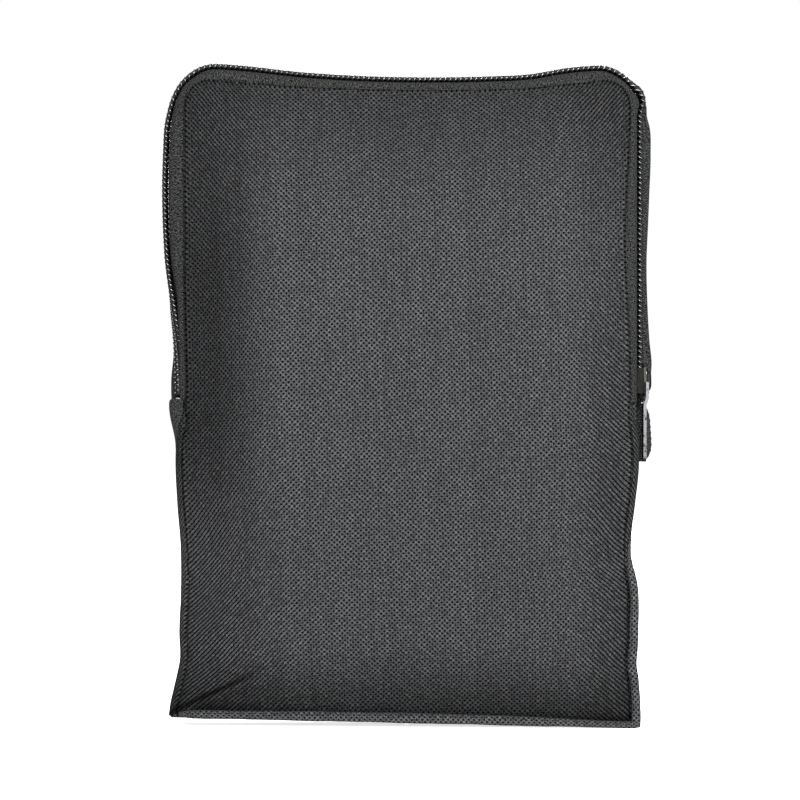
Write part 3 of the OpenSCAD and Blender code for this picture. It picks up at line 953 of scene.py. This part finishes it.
def wire(name, centres, radius):
    """A round wire through a line of points."""
    ahead = unit(np.gradient(np.asarray(centres, float), axis=0))
    aside = [np.cross(ahead[0], [0.3, 1, 0.2])]
    for direction in ahead[1:]:
        last = unit(aside[-1])
        aside.append(last - direction * (last @ direction))
    aside = unit(np.array(aside))
    angles = np.arange(WIRE_SIDES) * 2 * math.pi / WIRE_SIDES
    ring = (np.cos(angles)[:, None] * aside[:, None, :]
            + np.sin(angles)[:, None] * np.cross(ahead, aside)[:, None, :]) * radius
    uv = together(angles * radius, distance_along(centres)[:, None])
    return tube(name, np.asarray(centres)[:, None, :] + ring, uv)


def squared(wave):
    """A wave with flatter tops."""
    return np.sign(wave) * np.abs(wave) ** COIL_SQUARENESS


def coil_row(name, sign, phase):
    """One row of the zip: a flattened helix of nylon round a cord, sewn down between its turns."""
    arch = Arch(COIL_START_Z + COIL_WIRE_R)
    turns = int(arch.length / COIL_PITCH)
    angle = np.linspace(0, 2 * math.pi * (turns - 0.5), (turns * 2 - 1) * 8 + 1)
    # Each turn moves on mostly at its side away from the other row, where it shows as a slanting bar
    moved_on = (1.5 * angle - 2 * np.cos(angle) - np.sin(2 * angle) / 4) / (3 * math.pi)
    s = arch.length / turns * (moved_on + 0.2 + phase)
    out = COIL_MID_OUT + COIL_HALF_H * squared(np.cos(angle))
    y = sign * (COIL_MID_Y + COIL_HALF_W * squared(np.sin(angle)))
    coil = wire(name, arch.points(s, out, y), COIL_WIRE_R)
    s = steps(0, arch.length, 1.2)
    cord = wire("cord", arch.points(s, COIL_MID_OUT, sign * (COIL_MID_Y + 0.2)), CORD_R)
    # The sewing threads fill the gaps between the turns, just below their outer side
    top = COIL_MID_OUT + COIL_HALF_H + 0.1
    section = [(top - 0.9, 0.5), (top, 0.6), (top, 2.2), (top - 0.2, 2.7), (top - 0.9, 2.8)]
    sewing = swept_band("sewing", arch, s, section, sign)
    thicken(sewing, 0.1)
    coil_faces = len(coil.data.polygons) + len(cord.data.polygons)
    return joined(name, [coil, cord, sewing]), coil_faces


def zip_coils():
    for name, sign, phase, join, *nodes in (
            ("front_coil", -1, 0.0, across_fold, "zip_coil_front_ends", "zip_coil_front_flap"),
            ("back_coil", 1, 0.5, on_bag, "zip_coil_back")):
        row, coil_faces = coil_row(name, sign, phase)
        join(row, COIL, *nodes)
        row.data.materials.append(THREAD[0])
        for face in row.data.polygons[coil_faces:]:
            face.material_index = 1


# ---- zip ends ----

STOP_HALF_LENGTH = 0.8
STOP_HALF_HEIGHT = 0.75
STOP_REACH = 3.0   # how far a stop reaches to each side of the middle plane
STOP_GAP = 0.6   # half the gap between the two top stops


def stop_clip(name, arch, s, start_y, end_y):
    """A soft-cornered clip that lies across the coil rows at s along the arch."""
    y = steps(start_y, end_y, 0.25)
    from_end = np.minimum(np.minimum(y - start_y, end_y - y) / 0.5, 1)
    swell = 0.7 + 0.3 * np.sqrt(1 - (1 - from_end) ** 2)
    along, up = np.moveaxis(rounded_section(STOP_HALF_LENGTH * swell, STOP_HALF_HEIGHT * swell, 16), -1, 0)
    return tube(name, arch.points(s + along, COIL_MID_OUT - 0.35 + up, y[:, None]))


def zip_stops():
    """The clips at the two ends of the coils."""
    arch = Arch(ZIP_END_Z)
    left = stop_clip("bottom_stop", arch, arch.length - 1.0, -STOP_REACH, STOP_REACH)
    on_bag(left, STOP_LACQUER, "zip_bottom_stop")
    right = joined("top_stops", [stop_clip("stop", arch, 0.95, -STOP_REACH, -STOP_GAP),
                                 stop_clip("stop", arch, 0.95, STOP_GAP, STOP_REACH)])
    on_bag(right, COIL, "zip_top_stops")


def end_hem():
    """The hem over the zip's left end, with its upper edge turned in."""
    profile = [(z, 2.2 + 2.5 * smooth(87, 100, z)) for z in steps(84, 101.6, 1.1)]
    profile += [(102.1, 4.3), (102.2, 3.8), (101.9, 3.4), (100.8, 3.1)]
    z, out = np.array(profile).T[:, :, None]
    share, y = mirrored_section([(0, -7.0), (0.55, -6.8), (0.86, -6.1), (1, -4.8), (1, -2.4), (1, 0)]).T
    points = settle(together(-PANEL_HALF_W - out * share, y, z))
    around = np.array([distance_along(row) for row in points])
    uv = together(around - around[:, -1:] / 2, distance_along(profile)[:, None])
    hem = sheet("end_hem_left", points, uv)
    thicken(hem, 0.5, side=0)
    subdivide(hem)
    on_bag(hem, TAB_CLOTH, "zip_end_tab_left")


def end_fold():
    """The folded cloth that bulges behind the pull at the zip's right end."""
    z = steps(82.5, 101.2, 0.6)
    swell = np.sqrt(np.maximum(1 - (np.abs(z - 91.8) / 10.0) ** 4, 0.02))
    half_out = 2.75 * swell
    ridge = 0.10 * np.sin(z * 2 * math.pi / 1.9)
    sections = rounded_section(half_out + ridge * swell, 2.35 * swell, 28, 0.8)
    # A groove runs up the middle, where the fold meets itself
    sections[..., 0] -= 0.35 * hump(0, 0.45, sections[..., 1]) * np.sign(sections[..., 0])
    centres = together(PANEL_HALF_W + 2.3 + half_out, 5.2, z)
    bulge = loft("end_fold_right", centres, (0, 1), sections, z)
    on_bag(bulge, TAB_CLOTH, "zip_end_tab_right")


# ---- stitches and binding ----

STITCH = 2.2
STITCH_PITCH = 3.2
STITCH_BEND = (0, 0.2, 0.5, 0.8, 1)   # places along a stitch, as shares of its length
TOPSTITCH_IN = 1.6
TOPSTITCH_R = 0.2
LIP_STITCH_R = 0.17
CLEAR_Y = 50   # outside every surface
STITCH_PROUD = 0.04   # how far the middle of a stitch's thread lies above the cloth
STITCH_SUNK = 0.25   # how much lower its ends are


def stitch_row(name, places, piece, sign, radius):
    """Stitches between pairs of places, each given as (x, z), laid on a piece's outer surface."""
    surface = BVHTree.FromPolygons([tuple(vertex.co) for vertex in piece.data.vertices],
                                   [tuple(face.vertices) for face in piece.data.polygons])
    made = []
    for start, end in places:
        centres = []
        for t in STITCH_BEND:
            x, z = (start + (end - start) * t) * MM
            found = surface.ray_cast((x, sign * CLEAR_Y * MM, z), (0, -sign, 0))[0]
            if found:
                raised = STITCH_PROUD - STITCH_SUNK * (1 - math.sin(math.pi * t) ** 0.5)
                centres.append(np.array(found) / MM + [0, sign * raised, 0])
        if len(centres) == len(STITCH_BEND):
            made.append(wire("stitch", centres, radius))
    return joined(name, made)


def stitch_ends(x, z):
    """Both ends of a stitch as (x, z) on the settled cloth, from their places in the pattern."""
    return settle(together(x, 0, z))[:, [0, 2]]


def arch_stitches(shift):
    """Ends of the stitches beside the zip; shift(x, z) moves them along X."""
    arch = Arch(ZIP_END_Z)
    for s in np.arange(2.0, arch.length - 2.0, STITCH_PITCH):
        x, z = arch.at([s, s + STITCH], -TOPSTITCH_IN)
        yield stitch_ends(x + shift(x, z), z)


def threads(front, back, bottom, right):
    """All the stitches: beside the zip, along the bottom lip and up the right lip."""
    row = stitch_row("front_topstitch", arch_stitches(drawn_in), front, -1, TOPSTITCH_R)
    across_fold(row, THREAD, "topstitch_front_ends", "topstitch_front_flap")
    row = stitch_row("back_topstitch", arch_stitches(lambda x, z: 0.0), back, 1, TOPSTITCH_R)
    on_bag(row, THREAD, "topstitch_back")
    places = [stitch_ends([x, x + STITCH], through(LIP_HEIGHT, x) - 0.7)
              for x in np.arange(-PANEL_HALF_W + 2.5, LIP_RIGHT_X - 4, STITCH_PITCH)]
    row = stitch_row("bottom_lip_stitches", places, bottom, -1, LIP_STITCH_R)
    on_bag(row, THREAD, "seam_stitch_bottom")
    places = [stitch_ends(LIP_RIGHT_X - 2.3, [z, z + STITCH])
              for z in np.arange(LIP_TOP_Z + 2, LIP_RIGHT_TOP_Z - 4, STITCH_PITCH)]
    row = stitch_row("right_lip_stitches", places, right, -1, LIP_STITCH_R)
    on_bag(row, THREAD, "seam_stitch_right")


BINDING_Y = 4.15
BINDING_STEP = 2.0


def inner_binding():
    """Binding tape over the raw edges inside."""
    arch = Arch(2.0)
    section = [(-2.9, BINDING_Y), (-1.5, BINDING_Y + 0.05), (-0.2, BINDING_Y)]
    front_run = steps(0, FOLD_Z - 2.5, BINDING_STEP)
    parts = [swept_band("binding", arch, s, section, sign)
             for s, sign in ((steps(0, arch.length, BINDING_STEP), 1), (front_run, -1),
                             (arch.length - front_run, -1))]
    x = steps(-PANEL_HALF_W + 3, PANEL_HALF_W - 3, BINDING_STEP)[:, None]
    for sign in (-1, 1):
        points = together(x, sign * BINDING_Y, [1.8, 3.2, 4.7])
        parts.append(sheet("binding", settle(points), points[..., [2, 0]]))
    binding = joined("inner_binding", parts)
    thicken(binding, 0.4, side=0)
    on_bag(binding, BINDING, "seam_binding")


# ---- slider ----


def slider_dome():
    """The domed cap over the slider's lock."""
    foot, bottom = low("slider_cap")[[0, 2]]
    crown, top = high("slider_cap")[[0, 2]]
    u = np.sin(np.linspace(-math.pi / 2, math.pi / 2, 25))[:, None]
    v = np.sin(np.linspace(-math.pi / 2, math.pi / 2, 17))
    # Fuller towards the top, where the lock lifts inside it
    fullness = np.where(u > 0, 9.0, 3.5)
    dome = np.sqrt(np.clip(1 - np.abs(u) ** fullness, 0, 1) * np.clip(1 - np.abs(v) ** 3.5, 0, 1))
    x = foot - 0.05 + (crown - foot) * dome * (1 - 0.03 * u)
    y = 1.7 * v * (1 - 0.18 * u)
    z = (bottom + top) / 2 + (top - bottom) / 2 * u * np.sqrt(1 - 0.12 * v ** 2)
    cap = sheet("slider_dome", together(x, y, z), together(y, z))
    thicken(cap, 0.15)
    dress(cap, LACQUER, BARE_METAL)
    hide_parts("slider_cap")
    # The lacquer is worn off round the foot of the dome
    for face in cap.data.polygons:
        face.material_index = int(face.center.x < (foot + 0.2) * MM)
    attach(cap, "slider")


def cad_finish(node, bevel, *finishes, worn_sides=False):
    """Shows a CAD part with rounded edges; a second finish is for its edges and for its worn sides."""
    part = bpy.data.objects[node]
    dress(part, *finishes)
    adjust(part.modifiers.new("Edges", "BEVEL"), width=bevel * MM, segments=3, limit_method="ANGLE",
           angle_limit=math.radians(35), harden_normals=True, material=len(finishes) - 1)
    if worn_sides:
        for face in part.data.polygons:
            face.material_index = int(abs(face.normal.y) > 0.7)


# ---- stage, light and camera ----

FRAME_H = 252.0   # height of the picture at the bag
LENS = 100.0
SENSOR = 36.0
VIEW_CENTRE = (-2.05, 0.0, 102.0)
AIM = (0, 0, 100)   # place that every light faces
WORLD_LIGHT = 0.35   # brightness of the white round the bag, as light
WORLD_GLEAM = 0.05   # and in reflections
# Name, place, size and power of each light
LIGHTS = [("key", (120, -1000, 540), 500, 31.0),
          ("side", (820, -700, 240), 200, 5.0),
          ("rim", (-660, 720, 200), 200, 1.2),
          ("top", (0, -150, 1100), 500, 5.0),
          ("back", (100, 1000, 600), 500, 17.0)]
FLOOR_RINGS = [1, 150, 400, 1200, 4000]
FLOOR_SIDES = 96


def add_floor():
    """A pale floor, lit enough to meet the white round it."""
    angles = np.arange(FLOOR_SIDES) * 2 * math.pi / FLOOR_SIDES
    radius = np.array(FLOOR_RINGS)[:, None]
    points = together(radius * np.cos(angles), radius * np.sin(angles), 0)
    floor = new_object("floor", points, quads(len(FLOOR_RINGS), FLOOR_SIDES, wrap=True))
    nodes = Nodes("pale_paper")
    place = nodes.object_place()
    grain = place.noise(400.0)
    # Away from the bag the floor is as bright as the white round it
    glow = nodes.add("VectorMath", {0: place}, "Value", operation="LENGTH").rescale(0.2, 0.6, 0.7, 1.0)
    # Reflections see it darker, as they see the white round it
    gleam = nodes.ray("Glossy")
    paper = nodes.finish(gleam.mix(grey(0.9), grey(0.05)), grain.between(0.85, 0.95), grain, 0.0,
                         Specular_IOR_Level=0.1, Emission_Color=grey(1.0),
                         Emission_Strength=glow * gleam.between(1.0, WORLD_GLEAM))
    floor.data.materials.append(paper)


def add_world():
    """White where the camera sees it, dimmer as light, and dimmer still in reflections."""
    nodes = Nodes("studio", "worlds")
    strength = nodes.ray("Camera").between(nodes.ray("Glossy").between(WORLD_LIGHT, WORLD_GLEAM), 1.0)
    background = nodes.add("Background", {"Color": grey(1.0), "Strength": strength})
    nodes.node("OutputWorld", {"Surface": background})
    bpy.context.scene.world = nodes.owner


def placed(name, data, place):
    """A light or camera at a place in millimetres."""
    holder = bpy.data.objects.new(name, data)
    holder.location = np.array(place) * MM
    bpy.context.scene.collection.objects.link(holder)
    return holder


def add_light(name, place, size, power):
    """A soft square light, aimed at the middle of the bag."""
    lamp = adjust(bpy.data.lights.new(name, "AREA"), size=size * MM, energy=power)
    holder = placed(name, lamp, place)
    holder.rotation_mode = "QUATERNION"
    holder.rotation_quaternion = (Vector(AIM) - Vector(place)).to_track_quat("-Z", "Y")


def add_camera():
    data = adjust(bpy.data.cameras.new("camera"), lens=LENS, sensor_width=SENSOR)
    x, y, z = VIEW_CENTRE
    camera = placed("camera", data, (x, y - FRAME_H * LENS / SENSOR, z))
    camera.rotation_euler = (math.pi / 2, 0, 0)
    bpy.context.scene.camera = camera


# ---- building ----

front_cloth, back_cloth = outer_cloth()
inner_layers()
gussets()
lips = bottom_lip(), right_lip()
zip_tapes()
zip_coils()
zip_stops()
end_hem()
end_fold()
threads(front_cloth, back_cloth, *lips)
inner_binding()
slider_dome()
cad_finish("slider_body", 0.2, LACQUER, BARE_METAL)
cad_finish("pull_tab", 0.3, LACQUER, BARE_METAL, worn_sides=True)
cad_finish("lock_pawl", 0.04, STEEL)

bpy.context.scene.view_settings.view_transform = "Standard"
add_floor()
add_world()
for light in LIGHTS:
    add_light(*light)
add_camera()

bpy.context.view_layer.update()
